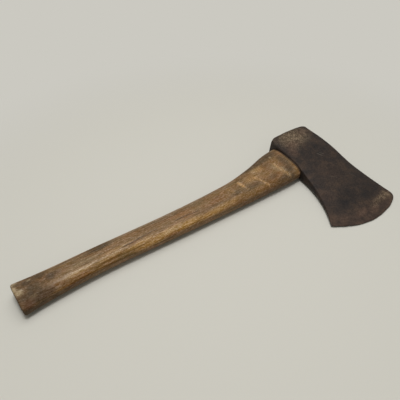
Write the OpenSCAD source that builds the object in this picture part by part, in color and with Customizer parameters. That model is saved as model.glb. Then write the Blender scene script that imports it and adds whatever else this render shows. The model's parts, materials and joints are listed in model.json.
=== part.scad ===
// Single-bit hatchet lying on its side: a forged head with a poll and a flared bit, hung on a short
// wooden handle that is split at the top and locked in the eye by one wooden and two steel wedges.
// Millimetres. Every piece is built on the middle plane of the head and then laid down together:
// x = 0 is where the shoulder of the handle seats under the head, with the handle towards -X,
// y = 0 is the centre of the eye, with the poll towards +Y and the bit towards -Y.

/* [Head] */
// Distance from the centre of the eye back to the middle of the poll face
poll_back = 44; // [38:0.5:48]
// Height of the poll along the handle
poll_h = 71.5; // [66:0.5:76]
// Height of the flat part of the poll face
poll_flat = 46; // [30:1:54]
// Depth of the rounding at the top and bottom of the poll face
poll_drop = 4.5; // [2:0.5:8]
// Rounding of the long edges of the poll face
poll_round = 2.5; // [1:0.5:4]
// How far the underside rises from the eye to the poll
poll_lift = 4; // [0:0.5:6]
// Lean of the poll face, its top towards the bit
poll_lean = 3.5; // [0:0.5:6]
// Lean of the bit, its heel towards the poll
bit_lean = 7; // [0:0.5:8]
// Distance from the centre of the eye forward to the heel
heel_forward = 121.5; // [105:0.5:130]
// How far the heel hangs below the underside of the eye
heel_drop = 37.5; // [26:0.5:42]
// Straight distance from the heel to the toe of the bit
bit_h = 123; // [110:1:130]
// How far the curved edge bows out past its corners
bit_bow = 18.5; // [12:0.5:26]
// How far the top edge sweeps up at the toe
toe_flare = 6; // [0:0.5:8]
// Rounding of the toe of the bit
toe_round = 5.5; // [3:0.5:12]
// Rounding of the heel of the bit
heel_round = 2; // [1:0.5:5]
// Thickness at the middle of the eye
eye_t = 31; // [28:0.5:34]
// Thickness at the poll
poll_t = 29; // [26:0.5:32]
// Thickness where the grinding bevel starts
bevel_t = 4.4; // [3:0.1:6]
// Width of the grinding bevel
bevel_w = 12; // [6:1:20]
// Thickness left on the worn cutting edge
edge_t = 0.5; // [0.3:0.1:1]

/* [Eye] */
// Length of the eye at the underside of the head
eye_l = 57; // [50:0.5:60]
// Width of the eye at the underside of the head
eye_w = 18.5; // [15:0.5:20]
// How much longer and wider the eye is at its top, where the wedges spread the handle
eye_flare = 2.6; // [1:0.1:4]

/* [Handle] */
// Length from the butt to the shoulder
handle_l = 413; // [380:1:440]
// How far the end of the handle stands out of the top of the eye
proud = 2; // [1:0.5:5]
// Squareness of the section: 2 is an ellipse
section_power = 2.7; // [2:0.1:4]
// Share of the reach to each corner of the grip that its four long flats leave: 1 is no flats
corner_left = 0.937; // [0.9:0.001:1]
// Rounding round the edge of the butt
butt_round = 3; // [1:0.5:5]
// Rounding round the edge of the shoulder
shoulder_round = 2; // [1:0.5:4]

/* [Wedges] */
// Depth of the kerf below the end of the handle
kerf_depth = 52; // [40:1:60]
// Width of the kerf at the end of the handle
kerf_top_w = 6; // [4:0.5:8]
// Width of the kerf at its foot
kerf_foot_w = 1.4; // [1:0.1:2]
// Length of each steel wedge
steel_l = 24; // [18:1:30]
// Width of each steel wedge across the eye
steel_w = 15; // [12:0.5:17]
// Thickness of each steel wedge at its struck end
steel_t = 3.4; // [2.5:0.1:4]
// Number of steps on each side of a steel wedge
steel_steps = 4; // [2:1:6]
// Distance of each steel wedge from the centre of the eye
steel_apart = 14; // [10:0.5:18]

/* [Hidden] */
steel_color = "#4a413b";
hickory_color = "#8f6238";
wedge_color = "#b08a5c";
bright_color = "#77726c";

// Points across each cheek of the head, points round the handle and spacing of the sections
cheek_steps = 20;
ring_points = 40;
spacing = 7;
// Shares of a rounding's depth at which it gets a section of its own
close_steps = [0, 0.05, 0.15, 0.35, 0.65, 1];
last_close = len(close_steps) - 1;

function blend(a, b, f) = a + (b - a) * f;
function clamp(f) = min(1, max(0, f));
// How many sections fit between the two ends of a stretch
function sections_in(l) = ceil(l / spacing) - 1;
function ease(f) = clamp(f) * clamp(f) * (3 - 2 * clamp(f));
// The lower of two values, rounded off where they cross
function soft_min(a, b, k) = (a + b - sqrt((a - b) * (a - b) + k * k)) / 2;
// What a round of radius r has taken off a corner at a depth d below the face
function round_off(r, d) = d >= r ? 0 : r - sqrt(r * r - (r - d) * (r - d));
// A cosine or sine drawn out towards the corners of a squarer oval
function square_out(c, power) = sign(c) * pow(abs(c), 2 / power);

// Plan of the head: the ends of the poll face and of the cutting edge
poll_low = [poll_lift, poll_back + sin(poll_lean) * poll_h / 2];
poll_high = poll_low + poll_h * [cos(poll_lean), -sin(poll_lean)];
heel = [-heel_drop, -heel_forward];
toe = heel + bit_h * [cos(bit_lean), -sin(bit_lean)];
plan_l = poll_low.y - heel.y;
mid_l = (poll_low.y + poll_high.y - heel.y - toe.y) / 2;
edge_l = mid_l + bit_bow;

// Underside: straight under the eye, rising a little to the poll, with one long arc down to the heel
lift_start = eye_l / 4;
beard_start = -eye_l / 5;
beard_reach = beard_start - heel.y;
beard_r = (beard_reach * beard_reach + heel_drop * heel_drop) / (2 * heel_drop);
function under_x(y) =
    y > beard_start
    ? poll_lift * pow(max(0, y - lift_start) / (poll_low.y - lift_start), 2)
    : sqrt(beard_r * beard_r - pow(beard_start - y, 2)) - beard_r + round_off(heel_round, y - heel.y);

// Top: nearly straight from the poll, sweeping up over the last part of the bit
flare_l = 75;
flare_start = toe.y + flare_l;
function top_x(y) =
    blend(poll_high.x, toe.x - toe_flare, (poll_high.y - y) / (poll_high.y - toe.y))
    + toe_flare * pow(clamp((flare_start - y) / flare_l), 2)
    - round_off(toe_round, y - toe.y);

// Half thickness at mid-height, at a distance m from the poll face: full from the poll to the eye,
// then one straight taper to the bevel, with a soft turn between them
bevel_start = edge_l - bevel_w;
taper = (eye_t - bevel_t) / 2 / (bevel_start - poll_back);
soft_turn = 1.2;
function into_bevel(m) = clamp((m - bevel_start) / bevel_w);
function half_t(m) =
    m > bevel_start
    ? blend(bevel_t, edge_t, into_bevel(m)) / 2
    : soft_min(blend(poll_t, eye_t, ease(m / poll_back)) / 2, eye_t / 2 + taper * (poll_back - m), soft_turn);

// The cheeks are crowned: the share of that thickness left at the top and bottom edges falls off in
// front of the eye, and comes back to all of it at the cutting edge
eye_share = 0.94;
blade_share = 0.52;
thinning_start = poll_back + 12;
thinning_l = 50;
function side_share(m) =
    blend(blend(eye_share, blade_share, ease((m - thinning_start) / thinning_l)), 1, into_bevel(m));

// Depth of the rounding along the top and bottom edges, and how square it is
eye_nose = 2.6;
blade_nose = 1.2;
nose_power = 4;
// How late the sections start to bow towards the curve of the cutting edge
bow_power = 2.2;

// Distances of the head's sections from the poll face: close over the poll's rounding and the bevel
head_stations = concat(
    [for (f = close_steps) poll_drop * f],
    [for (i = [1 : sections_in(plan_l - poll_drop - toe_round)]) poll_drop + i * spacing],
    [for (i = [last_close : -1 : 0]) plan_l - toe_round * close_steps[i]]);

// One closed section of the head: up across one cheek and back down the other
poll_end = (poll_h - poll_flat) / 2;
poll_end_r = (poll_end * poll_end + poll_drop * poll_drop) / (2 * poll_drop);
function head_point(d, i) =
    let (
        f = d / plan_l,
        low = [under_x(blend(poll_low.y, heel.y, f)), blend(poll_low.y, heel.y, f)],
        high = [top_x(blend(poll_high.y, toe.y, f)), blend(poll_high.y, toe.y, f)],
        bow = bit_bow * pow(f, bow_power),
        m = f * mid_l + bow,
        half_h = norm(high - low) / 2,
        poll_in = d >= poll_drop ? 0 : poll_end - sqrt(2 * poll_end_r * d - d * d),
        up = i <= cheek_steps ? cheek_steps - i : i - cheek_steps,
        t = sin(180 * up / cheek_steps - 90),
        reach = t * (1 - poll_in / half_h),
        nose = blend(eye_nose, blade_nose, ease((m - poll_back) / thinning_l)) / half_h,
        corner = pow(1 - pow(clamp((abs(t) - 1 + nose) / nose), nose_power), 1 / nose_power),
        flat_t = half_t(m) - round_off(poll_round, d),
        z = flat_t * blend(side_share(m), 1, 1 - t * t) * corner,
        across = (high - low) / (2 * half_h),
        plan = (low + high) / 2 + reach * half_h * across
             + bow * (1 - t * t) * [across.y, -across.x])
    [plan.x, plan.y, i <= cheek_steps ? z : -z];
head_points = [for (d = head_stations) for (i = [0 : 2 * cheek_steps - 1]) head_point(d, i)];

// Triangles between rings of n points, and the faces that close the first ring and the last
function ring_faces(rings, n) = [
    for (r = [0 : rings - 2]) for (i = [0 : n - 1]) each [
        [r * n + i, (r + 1) * n + i, r * n + (i + 1) % n],
        [r * n + (i + 1) % n, (r + 1) * n + i, (r + 1) * n + (i + 1) % n]]];
function first_cap(n) = [[for (i = [0 : n - 1]) i]];
function last_cap(rings, n) = [[for (i = [n - 1 : -1 : 0]) (rings - 1) * n + i]];
// The narrow strip along the cutting edge, joining the two cheeks
function edge_strip(first, n) = [
    for (i = [0 : n / 2 - 1]) each concat(
        i == 0 ? [] : [[first + n - i, first + i + 1, first + i]],
        i == n / 2 - 1 ? [] : [[first + (n - i) % n, first + n - i - 1, first + i + 1]])];

module head_blank() {
    n = 2 * cheek_steps;
    rings = len(head_stations);
    polyhedron(head_points,
        concat(ring_faces(rings, n), first_cap(n), edge_strip((rings - 1) * n, n)), convexity = 6);
}

// An oval ring across the handle at x: centre, half width, half depth, squareness and what is left of
// its corners, which reach furthest where the shares of the width and the depth are alike
function oval(x, y, half_w, half_d, power, left = 1) = [
    for (i = [0 : ring_points - 1])
        let (
            w = square_out(cos(360 * i / ring_points), power),
            d = square_out(sin(360 * i / ring_points), power),
            kept = min(1, left * 2 * square_out(sin(45), power) / (abs(w) + abs(d))))
        [x, y + kept * half_w * w, kept * half_d * d]];

// The eye and the tongue of the handle share one flared oval
eye_power = 2.5;
function eye_oval(x) =
    let (grow = eye_flare * x / poll_h)
    oval(x, 0, (eye_l + grow) / 2, (eye_w + grow) / 2, eye_power);
tongue_l = top_x(0) + proud;

module eye_bar(x0, x1) {
    polyhedron(concat(eye_oval(x0), eye_oval(x1)),
        concat(ring_faces(2, ring_points), first_cap(ring_points), last_cap(2, ring_points)));
}

// Handle, from the butt to the shoulder: [x, belly, back, thickness]
handle_rows = [
    [-handle_l, -8.5, 34, 25.5],
    [-0.93 * handle_l, -6.8, 31, 23],
    [-0.75 * handle_l, -8, 26.5, 22],
    [-0.51 * handle_l, -16.5, 19, 22],
    [-0.27 * handle_l, -24.5, 16.7, 23.5],
    [-0.15 * handle_l, -28, 22.7, 25],
    [-0.07 * handle_l, -30, 30.5, 26],
    [0, -30.5, 33.5, 26.5]];
last_row = len(handle_rows) - 1;
function slope(k, c) =
    let (a = handle_rows[max(0, k - 1)], b = handle_rows[min(last_row, k + 1)])
    (b[c] - a[c]) / (b.x - a.x);
// A smooth curve through one column of the rows
function along(x, c, k = 0) =
    k < last_row - 1 && x > handle_rows[k + 1].x ? along(x, c, k + 1) :
    let (
        a = handle_rows[k],
        b = handle_rows[k + 1],
        w = b.x - a.x,
        f = (x - a.x) / w)
    a[c] * (1 + 2 * f) * (1 - f) * (1 - f) + slope(k, c) * w * f * (1 - f) * (1 - f)
    + b[c] * f * f * (3 - 2 * f) + slope(k + 1, c) * w * f * f * (f - 1);

handle_stations = concat(
    [for (f = close_steps) -handle_l + butt_round * f],
    [for (i = [1 : sections_in(handle_l - butt_round - shoulder_round)])
        -handle_l + butt_round + i * spacing],
    [for (i = [last_close : -1 : 0]) -shoulder_round * close_steps[i]]);
// The flats run up the grip and fade out on the way to the shoulder
flats_fade = -0.8 * handle_l;
flats_end = -0.3 * handle_l;
function handle_ring(x) =
    let (
        cut = round_off(butt_round, x + handle_l) + round_off(shoulder_round, -x),
        left = blend(corner_left, 1, ease((x - flats_fade) / (flats_end - flats_fade))))
    oval(x, (along(x, 1) + along(x, 2)) / 2, (along(x, 2) - along(x, 1)) / 2 - cut,
        along(x, 3) / 2 - cut, section_power, left);
handle_points = concat(
    [for (x = handle_stations) each handle_ring(x)], eye_oval(0), eye_oval(tongue_l));

module handle_blank() {
    rings = len(handle_stations) + 2;
    polyhedron(handle_points,
        concat(ring_faces(rings, ring_points), first_cap(ring_points), last_cap(rings, ring_points)),
        convexity = 6);
}

// The V-shaped kerf along the middle of the tongue
module kerf() {
    kerf_foot = tongue_l - kerf_depth;
    rotate([90, 0, 0])
        linear_extrude(height = 2 * eye_l, center = true)
            polygon([
                [kerf_foot, -kerf_foot_w / 2], [tongue_l + proud, -kerf_top_w / 2],
                [tongue_l + proud, kerf_top_w / 2], [kerf_foot, kerf_foot_w / 2]]);
}

// One steel wedge: barbed on both sides so that it can't back out, driven flush with the handle's end.
// Each barb stands out near the struck end of its step
steel_barb = 0.3;
barb_at = 0.9;
module steel_wedge(y) {
    tip_t = steel_t / 5;
    step_l = steel_l / steel_steps;
    function half(k) = blend(tip_t, steel_t, k / steel_steps) / 2;
    one_side = [
        for (k = [0 : steel_steps - 1]) each [
            [tongue_l - steel_l + k * step_l, half(k)],
            [tongue_l - steel_l + (k + barb_at) * step_l, half(k + 1) + steel_barb]]];
    other_side = [for (k = [len(one_side) - 1 : -1 : 0]) [one_side[k].x, -one_side[k].y]];
    struck_end = [[tongue_l, half(steel_steps)], [tongue_l, -half(steel_steps)]];
    translate([0, y, 0])
        linear_extrude(height = steel_w, center = true)
            polygon(concat(one_side, struck_end, other_side));
}

// Resting on its side: rolled until the lower cheek lies flat, with the butt let down to the ground
roll = atan(taper);
butt_mid = (along(-handle_l, 1) + along(-handle_l, 2)) / 2;
butt_low = butt_mid * sin(roll) - along(-handle_l, 3) / 2 * cos(roll);
pitch = -asin((butt_low + eye_t / 2 * cos(roll)) / (handle_l + poll_h / 2));
function rolled(p) = [p.x, p.y * cos(roll) - p.z * sin(roll), p.y * sin(roll) + p.z * cos(roll)];
function pitched(p) = [p.x * cos(pitch) + p.z * sin(pitch), p.y, p.z * cos(pitch) - p.x * sin(pitch)];
laid = [for (p = concat(head_points, handle_points)) pitched(rolled(p))];
box_low = [min([for (p = laid) p.x]), min([for (p = laid) p.y]), min([for (p = laid) p.z])];
box_high = [max([for (p = laid) p.x]), max([for (p = laid) p.y]), max([for (p = laid) p.z])];

module lay_down() {
    translate([-(box_low.x + box_high.x) / 2, -(box_low.y + box_high.y) / 2, -box_low.z])
        rotate([roll, pitch, 0])
            children();
}

module head() {
    color(steel_color)
        lay_down()
            difference() {
                head_blank();
                eye_bar(-poll_h, 2 * poll_h);
            }
}

module handle() {
    color(hickory_color)
        lay_down()
            difference() {
                handle_blank();
                kerf();
                steel_wedge(-steel_apart);
                steel_wedge(steel_apart);
            }
}

module wooden_wedge() {
    color(wedge_color)
        lay_down()
            difference() {
                intersection() {
                    kerf();
                    eye_bar(0, tongue_l);
                }
                steel_wedge(-steel_apart);
                steel_wedge(steel_apart);
            }
}

module steel_wedge_front() {
    color(bright_color)
        lay_down()
            steel_wedge(-steel_apart);
}

module steel_wedge_rear() {
    color(bright_color)
        lay_down()
            steel_wedge(steel_apart);
}

head();
handle();
wooden_wedge();
steel_wedge_front();
steel_wedge_rear();
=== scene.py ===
# An old single-bit hatchet lying on its side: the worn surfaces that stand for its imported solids.
# The bench frame is the one that the hatchet is modelled in: x along the handle, from its shoulder towards
# the top of the head, y from the middle of the eye towards the poll, and z out of the upper cheek. Places,
# sizes and depths on the bench are in millimetres, all other lengths in metres.
import json
import math

import bpy
import numpy as np
from mathutils import Euler, Matrix, Vector, noise


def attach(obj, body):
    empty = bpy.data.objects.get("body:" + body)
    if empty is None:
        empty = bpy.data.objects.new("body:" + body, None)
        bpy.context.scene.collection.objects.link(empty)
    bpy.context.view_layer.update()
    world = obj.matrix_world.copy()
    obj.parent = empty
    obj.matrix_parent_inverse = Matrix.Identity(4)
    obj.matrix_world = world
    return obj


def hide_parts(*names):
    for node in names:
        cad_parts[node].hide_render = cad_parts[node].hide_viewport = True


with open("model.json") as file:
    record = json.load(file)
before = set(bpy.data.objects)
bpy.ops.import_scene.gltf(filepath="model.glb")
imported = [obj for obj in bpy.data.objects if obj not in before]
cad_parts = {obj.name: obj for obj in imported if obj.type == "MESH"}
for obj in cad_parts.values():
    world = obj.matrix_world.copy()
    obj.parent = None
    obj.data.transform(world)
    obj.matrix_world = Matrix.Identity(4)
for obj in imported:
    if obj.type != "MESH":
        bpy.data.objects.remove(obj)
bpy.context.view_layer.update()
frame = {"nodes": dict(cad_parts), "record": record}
MM = 0.001

# The bench frame, from the two faces that the record measures
HANDLE_L = 413
BUTT_MIDDLE = 12.75
mounts = {mount["name"]: mount for mount in frame["record"]["mounts"]}
along = -Vector(mounts["butt_face"]["axis"]).normalized()
up = along.cross(Vector(mounts["poll_face"]["axis"])).normalized()
across = up.cross(along)
eye_foot = Vector(mounts["butt_face"]["pos_m"]) + (along * HANDLE_L - across * BUTT_MIDDLE) * MM
laid_down = Matrix.Translation(eye_foot) @ Matrix((along, across, up)).transposed().to_4x4()

# Ends of the cutting edge on the bench, how far the edge bows out past them, and so its arc
HEEL = np.array((-37.5, -121.5))
TOE = np.array((84.6, -136.5))
BIT_BOW = 18.5
chord = np.linalg.norm(TOE - HEEL)
edge_radius = (chord * chord / 4 + BIT_BOW * BIT_BOW) / (2 * BIT_BOW)
edge_out = np.array((TOE[1] - HEEL[1], HEEL[0] - TOE[0])) / chord
edge_centre = (HEEL + TOE) / 2 - edge_out * (edge_radius - BIT_BOW)


# Selecting, copying and finishing meshes

# How far off a flat end may lie, the least share of a normal that faces it, and how close vertices lie that
# are merged
END_SLACK = 0.05
END_FACING = 0.9
MERGE = 0.002


def pick(piece):
    """Leaves only this piece selected."""
    bpy.ops.object.select_all(action="DESELECT")
    piece.select_set(True)
    bpy.context.view_layer.objects.active = piece


def finish_with(piece, kind, **settings):
    """Adds a modifier and applies it."""
    pick(piece)
    modifier = piece.modifiers.new(kind.lower(), kind)
    for name, value in settings.items():
        setattr(modifier, name, value)
    bpy.ops.object.modifier_apply(modifier=modifier.name)


def bench_copy(node, name):
    """A merged copy of a CAD node, put back on the bench."""
    piece = bpy.data.objects.new(name, frame["nodes"][node].data.copy())
    bpy.context.scene.collection.objects.link(piece)
    piece.data.transform(laid_down.inverted())
    pick(piece)
    bpy.ops.object.mode_set(mode="EDIT")
    bpy.ops.mesh.select_all(action="SELECT")
    bpy.ops.mesh.remove_doubles(threshold=MERGE * MM)
    bpy.ops.object.mode_set(mode="OBJECT")
    return piece


def vectors(piece, kind):
    """One vector for each vertex: its place (co) or its normal."""
    flat = np.empty(len(piece.data.vertices) * 3)
    piece.data.vertices.foreach_get(kind, flat)
    return flat.reshape(-1, 3)


def points(piece):
    """The vertices on the bench."""
    return vectors(piece, "co") / MM


def normals(piece):
    """The normal at each vertex."""
    return vectors(piece, "normal")


def start_selection(piece, kind):
    """Clears the selection of a piece, whose faces or edges can then be selected from outside edit mode."""
    pick(piece)
    bpy.ops.object.mode_set(mode="EDIT")
    bpy.ops.mesh.select_mode(type=kind)
    bpy.ops.mesh.select_all(action="DESELECT")
    bpy.ops.object.mode_set(mode="OBJECT")


def select_faces(piece, wanted):
    """Goes into edit mode with the faces selected for which wanted(centre on the bench, normal) is true."""
    start_selection(piece, "FACE")
    for face in piece.data.polygons:
        face.select = bool(wanted(face.center / MM, face.normal))
    bpy.ops.object.mode_set(mode="EDIT")


def select_edges(piece, wanted):
    """Goes into edit mode with the edges selected for which wanted(one end, other end) is true."""
    start_selection(piece, "EDGE")
    place = points(piece)
    for edge in piece.data.edges:
        edge.select = bool(wanted(place[edge.vertices[0]], place[edge.vertices[1]]))
    bpy.ops.object.mode_set(mode="EDIT")


def select_rim():
    """Selects the open rim of the piece in edit mode."""
    bpy.ops.mesh.select_mode(type="EDGE")
    bpy.ops.mesh.select_all(action="DESELECT")
    bpy.ops.mesh.select_non_manifold()


def close_rim(rings):
    """Closes the open rim of the piece in edit mode with a face, and insets it by each of the widths."""
    bpy.ops.mesh.edge_face_add()
    bpy.ops.mesh.select_mode(type="FACE")
    for width in rings:
        bpy.ops.mesh.inset(thickness=width * MM)


def stretch_end(piece, end, length):
    """Moves the flat end of a piece, where x is at its greatest, further out."""
    select_faces(piece, lambda centre, facing: facing.x > END_FACING and centre.x > end - END_SLACK)
    bpy.ops.transform.translate(value=(length * MM, 0, 0))
    bpy.ops.object.mode_set(mode="OBJECT")


def lay_down(piece, node, material):
    """Puts a finished piece where its CAD node lies and lets it stand for that node."""
    piece.data.transform(laid_down)
    pick(piece)
    bpy.ops.object.shade_smooth()
    piece.data.materials.clear()
    piece.data.materials.append(material)
    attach(piece, "root")
    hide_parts(node)


# Painting marks on a piece, as one weight for each vertex

# The four sides that a line can lie on, by where they face, and how far a face has to turn to one of them
# for a line to start to show and to show in full
SIDES = {"top": (0, 0, 1), "under": (0, 0, -1), "belly": (0, -1, 0), "back": (0, 1, 0)}
SIDE_TURN = (0.1, 0.4)
# Turns places out of line with the noise's own grid, which would show as stripes on flat sides. Noise with
# another seed is taken from this far away
ASKEW = Euler((0.6, 0.5, 0.9))
ASKEW_ROWS = np.array(ASKEW.to_matrix())
SEED_STEP = 17.3
# Stains: the shares of their reach between which they fade, and those between which they are cut off, and
# how far round a side they go
STAIN_FADE = (0.2, 1.1)
STAIN_END = (0.8, 1.2)
STAIN_ROUND = 0.2
# What makes stains uneven: the size of coarse blobs as a share of the reach, that of fine blobs as a share
# of the coarse ones, the weights of both, and how much they shift a stain's rim and its strength
COARSE_BLOB = 0.5
FINE_BLOB = 0.4
COARSE = 0.45
FINE = 0.35
RAGGED = 0.35
PATCHY = 0.6
# Lines: the length over which they wander, how fast they taper at their ends, how thin they get there, the
# shares of the width between which a thin line gains its strength, and those of the half width between
# which it fades
WANDER_L = 3.5
TAPER = 5
THINNEST = 0.15
LINE_STRONG = (0.07, 0.4)
LINE_FADE = (0.2, 1)
# Steps of weight that are painted one by one
LEVELS = 100


def ramp(value, start, end):
    """0 at start and 1 at end, with soft ends."""
    share = np.clip((value - start) / (end - start), 0, 1)
    return share * share * (3 - 2 * share)


def mottle(places, size, seed):
    """Soft noise from about -1 to 1, with blobs of the given size: one number, or one for each axis."""
    spots = places / np.array(size) @ ASKEW_ROWS + SEED_STEP * seed
    return np.array([noise.noise(spot) for spot in spots.tolist()])


def blots(piece, rows, seed, rough=1):
    """Soft, uneven stains, from rows of place, reach along and across the handle, and strength. A stain on
    the upper or the lower face stays on its own side. Rough is how uneven they are."""
    place = points(piece)
    facing = normals(piece)[:, 2]
    stain = np.zeros(len(place))
    for number, (x, y, z, along_it, across_it, most) in enumerate(rows):
        away = np.linalg.norm((place - (x, y, z)) / (along_it, across_it, across_it), axis=1)
        near = np.flatnonzero((away < STAIN_END[1]) & (facing * z > -STAIN_ROUND * abs(z)))
        blob = COARSE_BLOB * min(along_it, across_it)
        uneven = COARSE * mottle(place[near], blob, seed + number)
        uneven = rough * (uneven + FINE * mottle(place[near], FINE_BLOB * blob, seed - number))
        level = np.clip(1 - ramp(away[near] + RAGGED * uneven, *STAIN_FADE) + PATCHY * uneven, 0, 1)
        level *= most * (1 - ramp(away[near], *STAIN_END))
        if z:
            level *= ramp(facing[near] * np.sign(z), -STAIN_ROUND, STAIN_ROUND)
        stain[near] = np.maximum(stain[near], level)
    return stain


def line_mark(flat, path, width):
    """1 along a bent line, falling to 0 at half its width, and narrower towards both ends."""
    path = np.array(path, float)
    lengths = np.linalg.norm(np.diff(path, axis=0), axis=1)
    mark = np.zeros(len(flat))
    done = 0
    for start, end, length in zip(path[:-1], path[1:], lengths):
        run = np.clip((flat - start) @ (end - start) / length ** 2, 0, 1)
        aside = np.linalg.norm(flat - start - run[:, None] * (end - start), axis=1)
        share = (done + run * length) / lengths.sum()
        half = width / 2 * np.clip(TAPER * np.minimum(share, 1 - share), THINNEST, 1)
        strong = ramp(half / width, *LINE_STRONG)
        mark = np.maximum(mark, (1 - ramp(aside / half, *LINE_FADE)) * strong)
        done += length
    return mark


def marks(piece, rows, wander):
    """The strength of lines on the sides of a piece, from rows of side, width, strength and path. Wander is
    how far the lines stray from their paths."""
    place = points(piece)
    facing = normals(piece)
    strength = np.zeros(len(place))
    drift = wander * np.stack((mottle(place, WANDER_L, 11), mottle(place, WANDER_L, 12)), axis=1)
    for side, width, most, *path in rows:
        flat = drift + (place[:, (0, 2)] if SIDES[side][1] else place[:, :2])
        seen = ramp(facing @ np.array(SIDES[side]), *SIDE_TURN)
        strength = np.maximum(strength, most * line_mark(flat, path, width) * seen)
    return strength


def keep(piece, name, weights):
    """Keeps a mark's weights for the material."""
    stored = piece.data.attributes.new(name, "FLOAT", "POINT")
    stored.data.foreach_set("value", np.clip(weights, 0, 1).astype(np.float32))


def move(piece, weights, depth, direction="NORMAL"):
    """Weight-paints a mark and moves the surface by its depth."""
    group = piece.vertex_groups.new(name="mark")
    levels = np.round(np.clip(weights, 0, 1) * LEVELS).astype(int)
    for level in np.unique(levels[levels > 0]):
        group.add(np.flatnonzero(levels == level).tolist(), level / LEVELS, "REPLACE")
    finish_with(
        piece, "DISPLACE", vertex_group="mark", strength=depth * MM, mid_level=0, direction=direction)
    piece.vertex_groups.clear()


def press(piece, name, weights, depth):
    """Moves the surface by a mark's depth and keeps its weights for the material."""
    move(piece, weights, depth)
    keep(piece, name, weights)


# Building shader trees

# Settings of the nodes that lay colours over one another, shade them, and multiply or add up values
LAID = {"data_type": "RGBA"}
SHADED = {"data_type": "RGBA", "blend_type": "MULTIPLY"}
PRODUCT = {"operation": "MULTIPLY"}
SUM = {"operation": "ADD", "use_clamp": True}


def to_linear(colour):
    """An sRGB hex colour as linear red, green, blue and alpha."""
    parts = [int(colour[i:i + 2], 16) / 255 for i in (1, 3, 5)]
    return [c / 12.92 if c <= 0.04045 else ((c + 0.055) / 1.055) ** 2.4 for c in parts] + [1]


def new_material(name):
    """A new material with its shader: (material, tree, shader)."""
    material = bpy.data.materials.new(name)
    material.use_nodes = True
    return material, material.node_tree, material.node_tree.nodes["Principled BSDF"]


def add(tree, kind, settings=None, stops=(), **links):
    """Adds a node with its settings. Links are sockets or constants for its inputs: _ stands for a space,
    i and a number for an input that has no name of its own. Stops are a colour ramp's places and tones."""
    node = tree.nodes.new("ShaderNode" + kind)
    for name, value in (settings or {}).items():
        setattr(node, name, value)
    for index, (position, colour) in enumerate(stops):
        elements = node.color_ramp.elements
        stop = elements[index] if index < 2 else elements.new(position)
        stop.position = position
        stop.color = to_linear(colour)
    for name, value in links.items():
        key = int(name[1:]) if name[0] == "i" and name[1:].isdigit() else name.replace("_", " ")
        if isinstance(value, bpy.types.NodeSocket):
            tree.links.new(value, node.inputs[key])
        else:
            node.inputs[key].default_value = value
    return node


def overlay(tree, colour, layers):
    """Lays tones over a colour, each where the mark of its name is strong. Rows: name, strength, tone."""
    for name, strength, tone in layers:
        mark = add(tree, "Attribute", {"attribute_name": name}).outputs["Fac"]
        share = add(tree, "Math", PRODUCT, i0=mark, i1=strength).outputs[0]
        colour = add(tree, "Mix", LAID, i0=share, i6=colour, i7=to_linear(tone)).outputs[2]
    return colour


# Forged carbon steel under decades of rust and handling: a dull, almost black brown skin in soft patches,
# with warmer, grainy rust towards the poll and the edge. The specks are drawn coarser than real ones, so
# that they show. Each pattern has its size, detail and roughness, and starts where the toe has no stripes
STEEL_PATTERNS = {"patches": (16, 7, 0.68), "grit": (6, 5, 0.7), "specks": (1.8, 3, 0.6)}
STEEL_START = (0.11, 0.07, 0.03)
SKIN_STOPS = ((0.32, "#292727"), (0.5, "#39312d"), (0.68, "#4d3f35"))
PALE_RUST_STOPS = ((0.4, "#4c3e31"), (0.5, "#6f5f4c"), (0.6, "#92806a"))
RED_RUST_STOPS = ((0.35, "#4a382f"), (0.68, "#765f50"))
GRIT_RELIEF = 0.4


def rusted_forging():
    material, tree, shader = new_material("rusted_forged_steel")
    flat = add(tree, "TexCoord").outputs["Object"]
    place = add(tree, "Mapping", Vector=flat, Rotation=ASKEW, Location=STEEL_START).outputs[0]
    pattern = {}
    for name, (size, detail, roughness) in STEEL_PATTERNS.items():
        scale = 1 / (size * MM)
        noisy = add(tree, "TexNoise", Vector=place, Scale=scale, Detail=detail, Roughness=roughness)
        pattern[name] = noisy.outputs["Fac"]
    skin = add(tree, "ValToRGB", stops=SKIN_STOPS, Fac=pattern["patches"]).outputs["Color"]
    skin = overlay(tree, skin, (("dark", 0.6, "#1f1f21"), ("rubbed", 0.3, "#4d3f35")))
    grains = add(tree, "Mix", i0=0.45, i2=pattern["grit"], i3=pattern["specks"]).outputs[0]
    pale_rust = add(tree, "ValToRGB", stops=PALE_RUST_STOPS, Fac=grains).outputs["Color"]
    broken = add(
        tree, "MapRange", Value=pattern["grit"], From_Min=0.36, From_Max=0.6, To_Min=0.85, To_Max=1.05)
    # Pale rust, and in one place light painted on the poll's face towards the handle
    rust_and_light = add(tree, "Attribute", {"attribute_name": "rust_and_light"}).outputs["Fac"]
    share = add(tree, "Math", PRODUCT, i0=rust_and_light, i1=broken.outputs[0]).outputs[0]
    skin = add(tree, "Mix", LAID, i0=share, i6=skin, i7=pale_rust).outputs[2]
    red_rust = add(tree, "ValToRGB", stops=RED_RUST_STOPS, Fac=pattern["grit"]).outputs["Color"]
    share = add(tree, "Attribute", {"attribute_name": "red_rust"}).outputs["Fac"]
    skin = add(tree, "Mix", LAID, i0=share, i6=skin, i7=red_rust).outputs[2]
    skin = overlay(tree, skin, (("pits", 0.35, "#1d1716"), ("scratches", 0.6, "#71675c")))
    shade = add(
        tree, "MapRange", Value=pattern["specks"], From_Min=0.3, From_Max=0.7, To_Min=0.58, To_Max=1.08)
    skin = add(tree, "Mix", SHADED, i0=1, i6=skin, i7=shade.outputs[0]).outputs[2]
    tree.links.new(skin, shader.inputs["Base Color"])
    relief = add(tree, "Bump", Height=pattern["grit"], Strength=0.5, Distance=GRIT_RELIEF * MM)
    tree.links.new(relief.outputs[0], shader.inputs["Normal"])
    shader.inputs["Metallic"].default_value = 0.2
    shader.inputs["Roughness"].default_value = 0.62
    shader.inputs["Specular IOR Level"].default_value = 0.12
    return material
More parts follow.
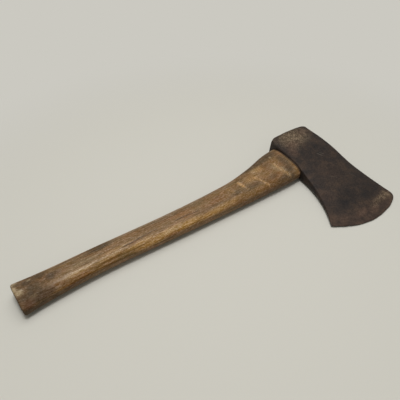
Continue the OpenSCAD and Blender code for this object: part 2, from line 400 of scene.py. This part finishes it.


# Old hickory, shaved to shape, oiled and polished by hands: brown grain that follows the handle under a low
# shine, darkened by grime and split by drying. Painted shade darkens the faces that turn down and the gap
# under the head, a painted highlight runs along the ridge of the grip, and a painted sheen along its far
# side.
# Its dark streaks are richer in colour than its pale ones, and its pores and flecks are drawn coarser than
# real ones, so that they show. Each pattern has its size along and across the grain, its detail and its
# roughness
WOOD_PATTERNS = {
    "bands": ((120, 6, 6), 5, 0.6), "blotches": ((26, 9, 9), 6, 0.7), "lines": ((140, 1.7, 1.7), 2, 0.6),
    "pores": ((6, 1.3, 1.3), 3, 0.7), "flecks": ((1.8, 1.8, 1.8), 3, 0.6)}
BAND_STOPS = ((0.3, "#6b4e27"), (0.5, "#7c5d35"), (0.7, "#8c6e46"))
BLOTCH_STOPS = ((0.36, "#695632"), (0.5, "#825f36"), (0.64, "#8e5b2d"))
# Tones laid over the wood: the golden and worn ones also paint a highlight along the ridge of the grip, the
# grey one is a painted sheen, and the grime one also paints shade on the faces that turn down
WOOD_TONES = (
    ("golden_and_highlight", 0.8, "#b28a50"), ("grime_and_shade", 0.82, "#3e3428"), ("ruddy", 0.8, "#503119"),
    ("worn", 0.85, "#b6a27e"), ("painted_sheen", 0.2, "#8a8479"), ("end_grain", 0.6, "#4c3b26"),
    ("scuffs", 0.8, "#cba06a"))
PORE_RELIEF = 0.3


def worn_hickory():
    material, tree, shader = new_material("hand_worn_hickory")
    place = add(tree, "Attribute", {"attribute_name": "grain"}).outputs["Vector"]
    pattern = {}
    for name, (sizes, detail, roughness) in WOOD_PATTERNS.items():
        way = add(tree, "Mapping", Vector=place, Scale=[1 / (size * MM) for size in sizes]).outputs[0]
        noisy = add(tree, "TexNoise", Vector=way, Scale=1, Detail=detail, Roughness=roughness)
        pattern[name] = noisy.outputs["Fac"]
    wood = add(tree, "ValToRGB", stops=BAND_STOPS, Fac=pattern["bands"]).outputs["Color"]
    hue = add(tree, "ValToRGB", stops=BLOTCH_STOPS, Fac=pattern["blotches"]).outputs["Color"]
    wood = add(tree, "Mix", LAID, i0=0.4, i6=wood, i7=hue).outputs[2]
    wood = overlay(tree, wood, WOOD_TONES)
    lined = add(tree, "Attribute", {"attribute_name": "lined"}).outputs["Fac"]
    darkest = add(tree, "MapRange", Value=lined, To_Min=0.85, To_Max=0.45).outputs[0]
    streaks = (
        ("lines", 0.33, 0.43, darkest, 0.96), ("pores", 0.3, 0.7, 0.55, 1.45),
        ("flecks", 0.3, 0.7, 0.68, 1.32))
    shade = 1
    for name, start, end, dark, pale in streaks:
        tone = add(
            tree, "MapRange", Value=pattern[name], From_Min=start, From_Max=end, To_Min=dark, To_Max=pale)
        shade = add(tree, "Math", PRODUCT, i0=shade, i1=tone.outputs[0]).outputs[0]
    wood = add(tree, "Mix", SHADED, i0=1, i6=wood, i7=shade).outputs[2]
    rich = add(tree, "MapRange", Value=shade, From_Min=0.3, From_Max=1.5, To_Min=1.3, To_Max=0.7).outputs[0]
    wood = add(tree, "HueSaturation", Saturation=rich, Color=wood).outputs["Color"]
    # Dark cracks, and painted shade in the gap under the head
    wood = overlay(tree, wood, (("checks_and_gap_shade", 0.9, "#2a1c10"),))
    tree.links.new(wood, shader.inputs["Base Color"])
    polish = add(tree, "MapRange", Value=pattern["blotches"], To_Min=0.3, To_Max=0.46).outputs[0]
    # The grime, with the painted shade on faces that turn down, dulls the shine
    grime_and_shade_mark = add(tree, "Attribute", {"attribute_name": "grime_and_shade"}).outputs["Fac"]
    dull = add(tree, "Mix", i0=grime_and_shade_mark, i2=polish, i3=0.8).outputs[0]
    tree.links.new(dull, shader.inputs["Roughness"])
    relief = add(tree, "Bump", Height=pattern["pores"], Strength=0.3, Distance=PORE_RELIEF * MM)
    tree.links.new(relief.outputs[0], shader.inputs["Normal"])
    shader.inputs["Specular IOR Level"].default_value = 0.26
    return material


# Softer wood driven in as a wedge: pale end grain of this size, weathered grey
WEDGE_GRAIN = 1.5
WEDGE_STOPS = ((0.35, "#5b4a33"), (0.65, "#8a7250"))


def weathered_wedge():
    material, tree, shader = new_material("weathered_wedge_wood")
    place = add(tree, "TexCoord").outputs["Object"]
    layers = add(tree, "TexNoise", Vector=place, Scale=1 / (WEDGE_GRAIN * MM), Detail=3).outputs["Fac"]
    wood = add(tree, "ValToRGB", stops=WEDGE_STOPS, Fac=layers).outputs["Color"]
    tree.links.new(wood, shader.inputs["Base Color"])
    shader.inputs["Roughness"].default_value = 0.75
    return material


# Mild steel wedges, struck flush with a hammer: brown rust in spots of this size, and dull grey between
RUST_SPOT = 2
SPOT_STOPS = ((0.4, "#3a2d26"), (0.65, "#5c5049"))


def struck_steel():
    material, tree, shader = new_material("struck_wedge_steel")
    place = add(tree, "TexCoord").outputs["Object"]
    spots = add(tree, "TexNoise", Vector=place, Scale=1 / (RUST_SPOT * MM), Detail=4).outputs["Fac"]
    skin = add(tree, "ValToRGB", stops=SPOT_STOPS, Fac=spots).outputs["Color"]
    tree.links.new(skin, shader.inputs["Base Color"])
    shader.inputs["Metallic"].default_value = 0.5
    shader.inputs["Roughness"].default_value = 0.5
    return material


# The head: spacing of its even skin, and how far it is swelled before it is laid on the solid
SKIN = 0.76
SWELL = 0.4
# Depths of its marks and sizes of their spots
RUB = 0.45
RUB_SPOT = 28
PIT = -0.16
PIT_SPOTS = (3.4, 1.7)
NICK = 0.45
DENT = -0.45
DENT_SPOT = 6
SCRATCH = -0.08
# Distances from the edge between which marks come or go
RUB_FROM = (3, 30)
PITS_FROM = (0, 12)
NICKS_TO = (0.4, 4)
RUST_TO = (4, 30)
# Places towards the poll between which its dents come, and how far its faces have to turn to it
DENTS_FROM = (36, 40)
POLL_TURN = (0.6, 0.9)
# Corrections of the outline: the toe worn back, over this distance from it
TOE_WEAR = -1.8
TOE_REACH = (0, 9)
# The bit fuller between these places along x, over this distance from the edge
BIT_FULL = -1.1
FULL_FROM = (44, 62)
FULL_TO = (70, 84)
FULL_REACH = (2, 24)
# The poll crowned about this place along x, from these places towards the poll
POLL_CROWN = 1.2
CROWN_MIDDLE = 42
CROWN_HALF = 34
CROWN_FROM = (22, 42)
# Nicks in the edge: place along x, width and share of the full depth
NICKS = ((71, 3, 1), (52, 2, 0.6), (31, 2.5, 0.8), (9, 4, 0.7), (-16, 2, 1), (-27, 3, 0.6))
# Stains, as rows for blots: pale rust on poll and toe, red rust along the edge, dark steel on the cheeks.
# The rust row at (8, 34, 0) also paints light on the poll's face that turns to the handle
HEAD_RUST_AND_LIGHT = (
    (72, -128, 2, 11, 9, 1), (62, -129, 2, 12, 8, 0.75), (51, -130, 2, 12, 7, 0.6),
    (40, -132, 2, 12, 6, 0.35), (38, 29, 14, 38, 26, 0.9), (27, 26, 14, 24, 26, 0.9),
    (14, 34, 13, 20, 20, 0.2), (8, 34, 0, 14, 22, 0.3), (34, 43, 0, 40, 12, 0.3),
    (40, 20, -15, 30, 20, 0.9), (60, -128, -3, 20, 12, 0.8))
HEAD_RED = (
    (56, -138, 2, 24, 8, 0.35), (34, -137, 2, 18, 9, 0.6), (15, -131, 2, 20, 8, 0.7),
    (-2, -130, 2, 18, 9, 0.35), (-14, -124, 2, 16, 10, 0.5), (-28, -116, 3, 14, 12, 0.4),
    (12, 4, 15, 12, 14, 0.5), (-4, -82, 6, 14, 18, 0.25), (22, 16, 15, 16, 12, 0.6),
    (34, -54, 11, 26, 24, 0.12), (10, -116, -4, 40, 16, 0.8), (58, 30, 14, 12, 12, 0.4))
HEAD_DARK = (
    (56, -110, 5, 28, 14, 1), (64, -112, 5, 14, 8, 1), (19, -52, 11, 20, 28, 0.4),
    (35, -63, 11, 18, 16, 0.4), (18, -102, 6, 28, 16, 0.9), (64, -88, 8, 12, 30, 0.3),
    (40, -12, 15, 24, 16, 0.1), (30, -60, -10, 30, 30, 0.7))
# Lines, as rows for marks
HEAD_SCRATCHES = (
    ("top", 2.2, 0.8, (41, -17), (47, -28)), ("top", 2, 0.6, (46, -18), (51, -26)),
    ("top", 2, 0.35, (22, -58), (34, -70)), ("top", 2, 0.35, (55, -70), (60, -84)),
    ("under", 2.2, 0.6, (10, -40), (26, -58)), ("under", 2, 0.5, (38, -90), (44, -104)))


def shape_head():
    """An even skin over the head's solid."""
    head = bench_copy("head", "worn_head")
    pattern = bench_copy("head", "pattern")
    finish_with(head, "DISPLACE", strength=SWELL * MM, mid_level=0)
    finish_with(head, "REMESH", mode="VOXEL", voxel_size=SKIN * MM)
    finish_with(head, "SHRINKWRAP", target=pattern, wrap_method="NEAREST_SURFACEPOINT")
    finish_with(head, "SMOOTH", factor=0.5, iterations=2)
    bpy.data.objects.remove(pattern)
    return head


def make_head():
    """The head with the marks of forging, rust and use."""
    head = shape_head()
    place = points(head)
    x, y = place[:, 0], place[:, 1]
    to_poll = normals(head)[:, 1]
    to_edge = edge_radius - np.linalg.norm(place[:, :2] - edge_centre, axis=1)
    to_toe = np.linalg.norm(place[:, :2] - TOE, axis=1)
    rubbed = 0.6 * (0.5 + 0.8 * mottle(place, RUB_SPOT, 1)) * ramp(to_edge, *RUB_FROM)
    press(head, "rubbed", rubbed, RUB)
    pits = ramp(mottle(place, PIT_SPOTS[0], 2) + 0.5 * mottle(place, PIT_SPOTS[1], 3), 0.35, 0.8)
    press(head, "pits", pits * ramp(to_edge, *PITS_FROM), PIT)
    nicks = sum(deep * np.exp(-((x - middle) / wide) ** 2) for middle, wide, deep in NICKS)
    move(head, nicks * (1 - ramp(to_edge, *NICKS_TO)), NICK, "Y")
    dents = ramp(mottle(place, DENT_SPOT, 4), 0.15, 0.55)
    move(head, dents * ramp(to_poll, *POLL_TURN) * ramp(y, *DENTS_FROM), DENT)
    press(head, "scratches", marks(head, HEAD_SCRATCHES, 0.3), SCRATCH)
    move(head, 1 - ramp(to_toe, *TOE_REACH), TOE_WEAR, "X")
    upper_bit = ramp(x, *FULL_FROM) * (1 - ramp(x, *FULL_TO))
    move(head, upper_bit * (1 - ramp(to_edge, *FULL_REACH)), BIT_FULL, "Y")
    crown = np.clip(1 - ((x - CROWN_MIDDLE) / CROWN_HALF) ** 2, 0, 1)
    move(head, crown * ramp(y, *CROWN_FROM), POLL_CROWN, "Y")
    keep(head, "rust_and_light", blots(head, HEAD_RUST_AND_LIGHT, 6, 0.35))
    edge_rust = 0.3 * (1 - ramp(to_edge, *RUST_TO))
    keep(head, "red_rust", np.maximum(edge_rust, blots(head, HEAD_RED, 3, 0.7)))
    keep(head, "dark", blots(head, HEAD_DARK, 9))
    lay_down(head, "head", rusted_forging())


# The handle: the eye's length and width at its foot, how much wider it gets at its top, and its height
EYE = (57, 18.5)
EYE_FLARE = 2.6
POLL_H = 71.5
# Triangles are joined to quads up to these angles, in degrees
QUAD_BEND = 60
QUAD_SKEW = 120
# Widths of the rings of faces in the two ends, where the grip ends, the length past which its edges are
# split, and how far the cutters for the wedges run past the tongue
TONGUE_RINGS = (2, 3)
BUTT_RINGS = (1, 3, 4)
GRIP_END = -1
LONG_EDGE = 1.3
CUT_PAST = 4
# Depths of the handle's marks and sizes of their spots
WAVE = -0.3
WAVE_SPOT = (50, 18, 18)
CHECK = -0.35
SCUFF = -0.15
SCUFF_SPOT = 2
DING = -0.25
DING_SPOT = 9
GRIME_AND_SHADE_SPOT = (9, 5, 5)
# Places along x between which the waves and dings go, the painted shade in the gap under the head comes
# and goes, the grain's dark lines come and go, the painted shade on faces that turn down grows towards the
# tail of the grip, dirt gathers on its butt, and that painted shade grows towards its neck
WAVES_TO = (-6, GRIP_END)
GAP_SHADE_FROM = (-5, -2.4)
GAP_SHADE_TO = (2, 4)
LINES_FROM = (-95, -160)
LINES_TO = (-355, -385)
SHADED_TAIL = (-295, -405)
DIRTY_BUTT = (-366, -388)
SHADED_NECK = (-175, -65)
# How far faces have to turn to an end to show end grain, and down from the light to take painted shade
END_TURN = (0.5, 0.9)
SHADE_TURN = (0.65, 0.15)
# The middle of the handle, which the grain follows: x and y
CENTRE_LINE = ((-413, 12.7), (-370, 11.6), (-320, 9.2), (-200, 1), (-120, -3.5), (-60, -2.3), (0, 0))
# Lines, as rows for marks: cracks along the grain and pale scuffs across it
CHECKS = (
    ("top", 1.5, 1, (-292, 1.7), (-268, 1.5), (-241, 1.8), (-224, 0.4)),
    ("top", 1.4, 1, (-213, -0.5), (-190, -2.4), (-168, -5.5)),
    ("top", 1.6, 0.8, (-352, 18.2), (-318, 17), (-290, 15.8)),
    ("top", 1.1, 0.6, (-330, 8.4), (-306, 7.8)), ("top", 1.1, 0.6, (-264, 9.6), (-236, 8.4)),
    ("top", 1.1, 0.6, (-206, 8.2), (-181, 6.4)), ("top", 1.1, 0.6, (-252, 13.7), (-228, 12.9)),
    ("top", 1.0, 0.5, (-152, 2.2), (-133, 0.3)), ("top", 1.0, 0.5, (-164, 9.7), (-142, 8.9)),
    ("under", 1.5, 1, (-340, 9), (-296, 8), (-262, 8.6)),
    ("under", 1.4, 1, (-236, 1), (-205, -1), (-170, -3)),
    ("under", 1.1, 0.6, (-300, 16), (-272, 15)), ("under", 1.1, 0.6, (-190, 6), (-160, 4.6)),
    ("belly", 1.3, 0.6, (-300, -4.4), (-262, -5), (-238, -4.6)),
    ("belly", 1.1, 0.6, (-190, -5), (-158, -4.4)),
    ("back", 1.4, 0.9, (-330, 1), (-290, 0.4), (-255, 1.2)), ("back", 1.2, 0.7, (-225, -4), (-196, -3.2)))
SCUFFS = (
    ("top", 8, 1, (-98.4, 6), (-95.4, -3), (-93.6, -11)), ("top", 5.5, 0.35, (-95.6, -5), (-92.6, -16)),
    ("top", 5.5, 0.3, (-119, 5), (-111, -11)), ("top", 6, 0.65, (-74, 3), (-66, -13), (-60, -28)),
    ("top", 7, 0.5, (-31, 10), (-27, -12), (-20.6, -32)), ("top", 5, 0.2, (-85, 9), (-79, -6)),
    ("top", 5, 0.15, (-53, 6), (-47, -10)), ("under", 5.5, 0.7, (-88, 4), (-82, -12)),
    ("under", 5, 0.5, (-60, 6), (-52, -10)))
# Stains, as rows for blots: dirt on butt, neck and shoulder, red-brown wood, golden wood that also paints a
# highlight along the ridge of the grip, wood worn pale that also adds to that painted highlight, and a
# painted sheen along the far side
GRIME = (
    (-403, 3, 12, 13, 11, 0.9), (-389, 4, 12, 11, 13, 0.9), (-392, 21, 11, 16, 9, 0.8),
    (-381, 23, 10, 14, 10, 0.9), (-390, -4, 9, 24, 9, 1), (-397, 0, 11, 9, 7, 0.9),
    (-379, -3, 10, 13, 7, 0.9), (-393, 13, 12, 12, 7, 0.7), (-20, -27, 6, 12, 8, 0.9),
    (-62, 22, 9, 14, 7, 0.8), (-86, 9, 12, 20, 9, 0.35), (-40, 8, 13, 12, 7, 0.35),
    (-140, 16, 9, 14, 6, 0.5), (-394, 11, 12, 9, 12, 0.9), (-396, 21, 11, 12, 9, 1),
    (-388, 13, 12, 9, 8, 0.8), (-397, 5, 12, 9, 7, 1), (-388, -1, 11, 14, 6, 1), (-306, 18, 9, 26, 7, 0.8),
    (-56, 18, 11, 60, 9, 0.9), (-22, 23, 11, 24, 14, 0.9), (-12, 0, 13, 10, 26, 0.75),
    (-16, -17, 13, 12, 12, 0.9), (-28, -25, 9, 24, 8, 0.8), (-110, -10, 12, 12, 6, 0.6),
    (-84, -12, 12, 26, 7, 0.6), (-46, -16, 13, 12, 8, 0.5), (-166, -9, 11, 30, 6, 0.25),
    (-50, 25, 8, 36, 9, 1), (-308, 25, 6, 26, 7, 0.8), (-392, 28, 6, 12, 8, 0.8),
    (-396, 14, -12, 26, 22, 0.9), (-30, 6, -13, 40, 24, 0.7), (-260, 8, -11, 80, 8, 0.5),
    (-371, 14, 11, 11, 9, 0.9), (-363, 15, 11, 8, 7, 0.6), (-411, 4, 10, 7, 10, 0.8))
RUDDY = (
    (-404, -5, 7, 10, 8, 0.95), (-381, -3, 9, 17, 8, 0.55), (-362, -3, 9, 12, 6, 0.5),
    (-113, -19, 8, 13, 7, 0.6), (-56, -25, 6, 26, 8, 0.5), (-345, -6, 3, 18, 6, 0.5),
    (-150, -12, 11, 26, 6, 0.3), (-100, -2, 12, 16, 9, 0.25), (-74, 2, 12, 16, 9, 0.3),
    (-40, 0, 13, 18, 10, 0.3), (-58, -18, 11, 14, 8, 0.25), (-20, -8, 13, 10, 12, 0.25),
    (-120, -13, 11, 12, 6, 0.35), (-140, -2, 12, 14, 6, 0.3), (-200, 0, -11, 60, 8, 0.5))
GOLDEN_AND_HIGHLIGHT = (
    (-342, 1, 12, 33, 5, 0.9), (-305, -1, 12, 40, 5, 1), (-300, 3, 12, 40, 4, 0.6),
    (-264, -5, 11, 34, 5, 1), (-228, -10, 10, 40, 6, 1), (-195, -13, 9, 30, 6, 1),
    (-250, -11, 6, 32, 6, 0.8), (-152, -16, 8, 40, 6, 0.8), (-118, -17, 9, 18, 6, 0.7),
    (-76, 1, 12, 16, 9, 0.55), (-58, 9, 12, 14, 8, 0.5), (-90, -2, -12, 40, 12, 0.6),
    (-300, 12, -11, 60, 7, 0.5))
WORN_AND_HIGHLIGHT = (
    (-408, 13, 12, 7, 6, 0.8), (-412, 19, 10, 6, 7, 1), (-410, 28, 7, 7, 6, 0.7), (-393, 24, 11, 4, 3, 0.5),
    (-340, 1.5, 12, 28, 4, 0.45), (-322, 9, 12, 20, 4, 0.25), (-339, 9, 12, 16, 4, 0.35),
    (-225, -10.5, 10, 26, 4, 0.3), (-310, -1, 12, 34, 4, 0.4), (-24, 16, 13, 3, 2.5, 0.9),
    (-396, 1, 11, 5, 3, 0.15), (-32, -2, 13, 9, 8, 0.3), (-26, -14, 13, 8, 9, 0.3),
    (-22, -25, 12, 5, 5, 0.5), (-64, 8, 12, 9, 6, 0.3), (-96, 0, 12, 6, 6, 0.25))
# A painted sheen along the far side of the grip
PAINTED_SHEEN = (
    (-345, 17, 10, 40, 8, 0.4), (-275, 15, 10, 50, 8, 0.5), (-215, 12, 10, 50, 8, 1),
    (-170, 10, 10, 40, 8, 0.8), (-120, 10, 11, 24, 8, 0.6))


def cut_for_wedges(handle, tongue_l):
    """Cuts the kerf and the two cross cuts into the end of the tongue."""
    for node in ("wooden_wedge", "steel_wedge_front", "steel_wedge_rear"):
        cutter = bench_copy(node, "cutter")
        stretch_end(cutter, tongue_l, CUT_PAST)
        finish_with(handle, "BOOLEAN", object=cutter, operation="DIFFERENCE", solver="EXACT")
        bpy.data.objects.remove(cutter)


def shape_handle():
    """The handle as smoothed quads: the shaved grip to its shoulder, and the tongue, cut for the wedges."""
    handle = bench_copy("handle", "worn_handle")
    tongue_l = points(handle)[:, 0].max()
    select_faces(handle, lambda centre, facing: centre.x > END_SLACK)
    bpy.ops.mesh.delete(type="FACE")
    bpy.ops.mesh.select_all(action="SELECT")
    bpy.ops.mesh.tris_convert_to_quads(
        face_threshold=math.radians(QUAD_BEND), shape_threshold=math.radians(QUAD_SKEW))
    select_rim()
    bpy.ops.transform.edge_crease(value=1)
    bpy.ops.mesh.extrude_region_move(TRANSFORM_OT_translate={"value": (tongue_l * MM, 0, 0)})
    grow = EYE_FLARE * tongue_l / POLL_H
    wider = (1, 1 + grow / EYE[0], 1 + grow / EYE[1])
    bpy.ops.transform.resize(value=wider, center_override=(tongue_l * MM, 0, 0))
    bpy.ops.transform.edge_crease(value=1)
    close_rim(TONGUE_RINGS)
    bpy.ops.object.mode_set(mode="OBJECT")
    select_faces(handle, lambda centre, facing: facing.x < -END_FACING and centre.x < END_SLACK - HANDLE_L)
    bpy.ops.mesh.delete(type="FACE")
    select_rim()
    close_rim(BUTT_RINGS)
    bpy.ops.mesh.select_all(action="SELECT")
    bpy.ops.mesh.normals_make_consistent(inside=False)
    bpy.ops.object.mode_set(mode="OBJECT")
    finish_with(handle, "SUBSURF", levels=2, render_levels=2)
    select_edges(handle, lambda a, b: abs(a[0] - b[0]) > LONG_EDGE and max(a[0], b[0]) < GRIP_END)
    bpy.ops.mesh.subdivide(number_cuts=1)
    bpy.ops.object.mode_set(mode="OBJECT")
    cut_for_wedges(handle, tongue_l)
    return handle


def make_handle():
    """The handle with the marks of making and use, painted shade, a painted highlight and a painted sheen.
    """
    handle = shape_handle()
    place = points(handle)
    facing = normals(handle)
    x = place[:, 0]
    keep(handle, "end_grain", np.maximum(ramp(-facing[:, 0], *END_TURN), ramp(facing[:, 0], *END_TURN)))
    grip = 1 - ramp(x, *WAVES_TO)
    move(handle, (0.5 + 0.7 * mottle(place, WAVE_SPOT, 1)) * grip, WAVE)
    # Painted shade: a dark band where the handle meets the head, laid with the cracks
    gap_shade = ramp(x, *GAP_SHADE_FROM) * (1 - ramp(x, *GAP_SHADE_TO))
    press(handle, "checks_and_gap_shade", np.maximum(marks(handle, CHECKS, 0.6), gap_shade), CHECK)
    scuffs = marks(handle, SCUFFS, 1.5) * (0.75 + 0.7 * mottle(place, SCUFF_SPOT, 2))
    press(handle, "scuffs", scuffs, SCUFF)
    move(handle, ramp(mottle(place, DING_SPOT, 3), 0.5, 0.9) * grip, DING)
    # Painted shade on the faces that turn down, growing towards the tail of the grip and the neck, laid
    # with the real dirt on the butt
    ends = ramp(x, *SHADED_TAIL) + 0.65 * ramp(x, *SHADED_NECK)
    low = ramp(facing[:, 2], *SHADE_TURN) * (0.05 + 0.8 * ends)
    butt = 0.68 * ramp(x, *DIRTY_BUTT)
    grime_and_shade_below = np.maximum(low, butt) * (1 + 0.5 * mottle(place, GRIME_AND_SHADE_SPOT, 8))
    keep(handle, "grime_and_shade", np.maximum(grime_and_shade_below, blots(handle, GRIME, 4, 0.65)))
    keep(handle, "ruddy", blots(handle, RUDDY, 5))
    # Golden and pale worn wood, which also paint a highlight along the ridge of the grip, and a painted
    # sheen
    keep(handle, "golden_and_highlight", blots(handle, GOLDEN_AND_HIGHLIGHT, 6, 0.65))
    keep(handle, "worn", blots(handle, WORN_AND_HIGHLIGHT, 7, 1.3))
    keep(handle, "painted_sheen", blots(handle, PAINTED_SHEEN, 8))
    keep(handle, "lined", ramp(x, *LINES_FROM) * (1 - ramp(x, *LINES_TO)))
    bend = np.interp(x, *zip(*CENTRE_LINE))
    grain = handle.data.attributes.new("grain", "FLOAT_VECTOR", "POINT")
    grain.data.foreach_set("vector", ((place - np.stack((0 * bend, bend, 0 * bend), axis=1)) * MM).ravel())
    lay_down(handle, "handle", worn_hickory())


# The wedges: the depth of the hammer's marks, the size of their spots, and the distances from the struck
# end between which they come
BLOW = -0.3
BLOW_SPOT = 2.5
BLOW_FROM = 2
BLOW_FULL = 0.5


def make_wedge(node, name, material, voxel, stand):
    """A wedge with soft edges whose struck end stands out of the handle's end by the given height."""
    wedge = bench_copy(node, name)
    end = points(wedge)[:, 0].max()
    stretch_end(wedge, end, stand)
    finish_with(wedge, "REMESH", mode="VOXEL", voxel_size=voxel * MM)
    place = points(wedge)
    struck = ramp(place[:, 0], end - BLOW_FROM, end - BLOW_FULL) * (0.5 + 0.5 * mottle(place, BLOW_SPOT, 3))
    move(wedge, struck, BLOW, "X")
    lay_down(wedge, node, material)


make_head()
make_handle()
make_wedge("wooden_wedge", "driven_wedge", weathered_wedge(), voxel=0.5, stand=0.6)
steel = struck_steel()
make_wedge("steel_wedge_front", "struck_wedge_front", steel, voxel=0.3, stand=0.2)
make_wedge("steel_wedge_rear", "struck_wedge_rear", steel, voxel=0.3, stand=0.2)

# A plain pale floor that fades into an even pale backdrop, which the eye and shiny surfaces see. The
# surround is how much of that backdrop's light falls on the object
PALE = to_linear("#cbc9c1")
FLOOR_TONE = to_linear("#cfcdc4")
FLOOR_SIDE = 12
FADE_START = 0.28
FADE_END = 0.56
SURROUND = 0.35


def seen_rays(tree):
    """1 for the rays that show the backdrop, 0 for those that only light the object."""
    path = add(tree, "LightPath").outputs
    mirrored = add(tree, "Math", SUM, i0=path["Is Glossy Ray"], i1=path["Is Transmission Ray"]).outputs[0]
    return add(tree, "Math", SUM, i0=path["Is Camera Ray"], i1=mirrored).outputs[0]


bpy.ops.object.select_all(action="DESELECT")
bpy.ops.mesh.primitive_plane_add(size=FLOOR_SIDE)
floor = bpy.context.active_object
floor.name = "floor"
floor_material, floor_tree, floor_shader = new_material("pale_floor")
floor_shader.inputs["Base Color"].default_value = FLOOR_TONE
floor_shader.inputs["Roughness"].default_value = 0.9
spot = add(floor_tree, "TexCoord").outputs["Object"]
away = add(floor_tree, "VectorMath", {"operation": "LENGTH"}, i0=spot).outputs["Value"]
soft = {"interpolation_type": "SMOOTHSTEP"}
faded = add(floor_tree, "MapRange", soft, Value=away, From_Min=FADE_START, From_Max=FADE_END).outputs[0]
share = add(floor_tree, "Math", PRODUCT, i0=faded, i1=seen_rays(floor_tree)).outputs[0]
haze = add(floor_tree, "Emission", Color=PALE).outputs[0]
ground = add(floor_tree, "MixShader", i0=share, i1=floor_shader.outputs[0], i2=haze).outputs[0]
floor_tree.links.new(ground, floor_tree.nodes["Material Output"].inputs["Surface"])
floor.data.materials.append(floor_material)

world = bpy.data.worlds.new("surround")
world.use_nodes = True
surround = world.node_tree.nodes["Background"]
surround.inputs["Color"].default_value = PALE
seen = seen_rays(world.node_tree)
level = add(world.node_tree, "MapRange", Value=seen, To_Min=SURROUND, To_Max=1).outputs[0]
world.node_tree.links.new(level, surround.inputs["Strength"])
bpy.context.scene.world = world

# Soft light: a small lamp overhead, a broad one on the far side and a broad dim one on the near side, each
# with its side in metres, its power in watts and its place
LAMPS = (
    ("overhead", 0.35, 10, (-0.08, -0.05, 1.6)), ("far_side", 1.2, 10, (0.2, 0.3, 1.55)),
    ("near_side", 1.5, 1.6, (-0.4, -0.9, 1.3)))
for name, side, power, place in LAMPS:
    lamp = bpy.data.lights.new(name, "AREA")
    lamp.size = side
    lamp.energy = power
    stand = bpy.data.objects.new(name, lamp)
    stand.location = place
    stand.rotation_euler = Vector(place).to_track_quat("Z", "Y").to_euler()
    bpy.context.scene.collection.objects.link(stand)

# The photograph's camera: its place, its turn in degrees, and its lens and sensor in millimetres
CAMERA_PLACE = (-0.23112, -0.2621, 0.41021)
CAMERA_TURN = (45.96, 0.516, -36.798)
LENS = 36.727
SENSOR = 36
camera_data = bpy.data.cameras.new("camera")
camera_data.sensor_width = SENSOR
camera_data.lens = LENS
camera = bpy.data.objects.new("camera", camera_data)
camera.location = CAMERA_PLACE
camera.rotation_euler = [math.radians(turn) for turn in CAMERA_TURN]
bpy.context.scene.collection.objects.link(camera)
bpy.context.scene.camera = camera
bpy.context.scene.view_settings.view_transform = "Standard"
